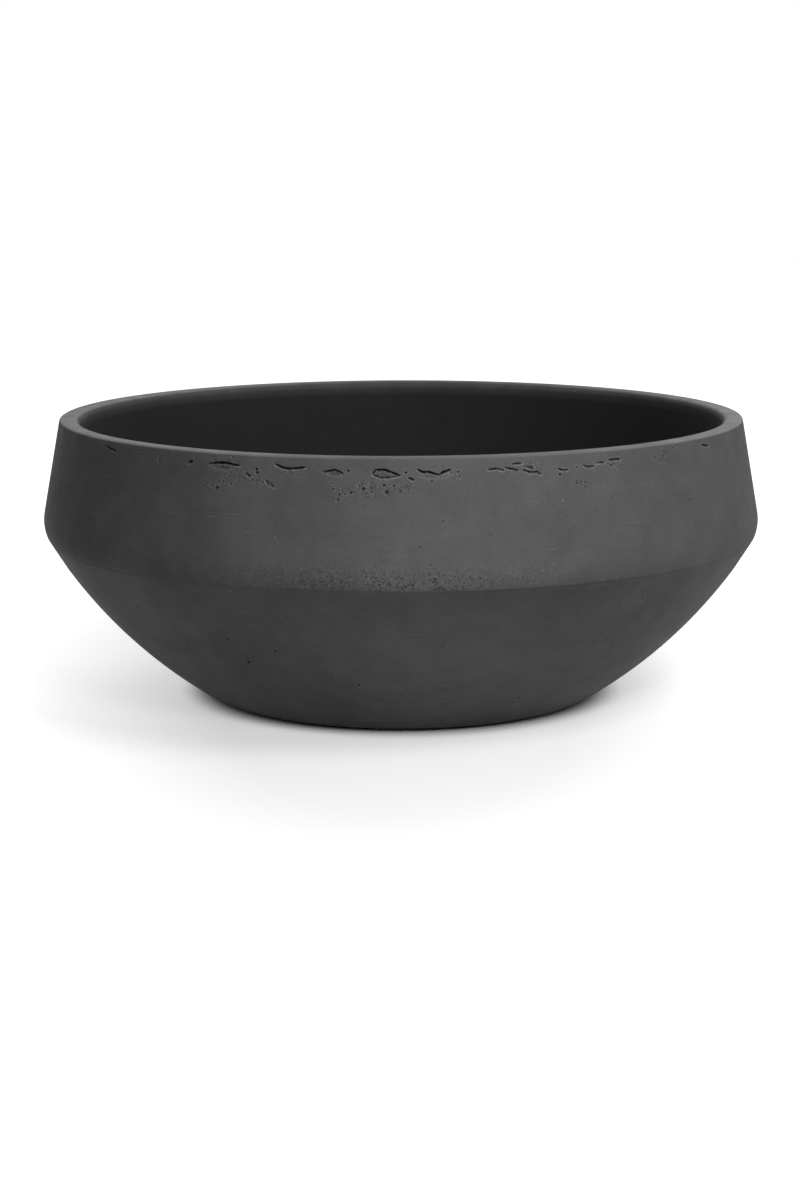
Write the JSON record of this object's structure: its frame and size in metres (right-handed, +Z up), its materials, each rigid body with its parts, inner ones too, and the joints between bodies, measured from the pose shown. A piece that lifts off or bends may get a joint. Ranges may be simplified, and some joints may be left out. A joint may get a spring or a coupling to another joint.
{
  "type": "planter bowl",
  "caption": "Low round fibre-clay planter bowl with a leaning upper band, rounded shoulder, curved-in lower wall, drain hole with pull-out rubber plug and floor pads.",
  "frame": {"origin": "on the floor under the bowl's axis, level with the undersides of the four pads", "axes": "+Z up along the bowl's axis, -Y towards the side shown in the picture, +X to its right"},
  "size_m": [0.6, 0.5999, 0.235],
  "materials": {
    "fibre_clay": "matte",
    "plug_rubber": "matte",
    "pad_rubber": "matte"
  },
  "bodies": {
    "bowl": {"bowl_shell": "fibre_clay", "floor_pad_1": "pad_rubber", "floor_pad_2": "pad_rubber", "floor_pad_3": "pad_rubber", "floor_pad_4": "pad_rubber"},
    "plug": {"drain_plug": "plug_rubber"}
  },
  "joints": [
    {"name": "plug_lift", "type": "slide", "parent": "bowl", "child": "plug", "axis": [0, 0, 1], "range_m": [0, 0.24]}
  ]
}
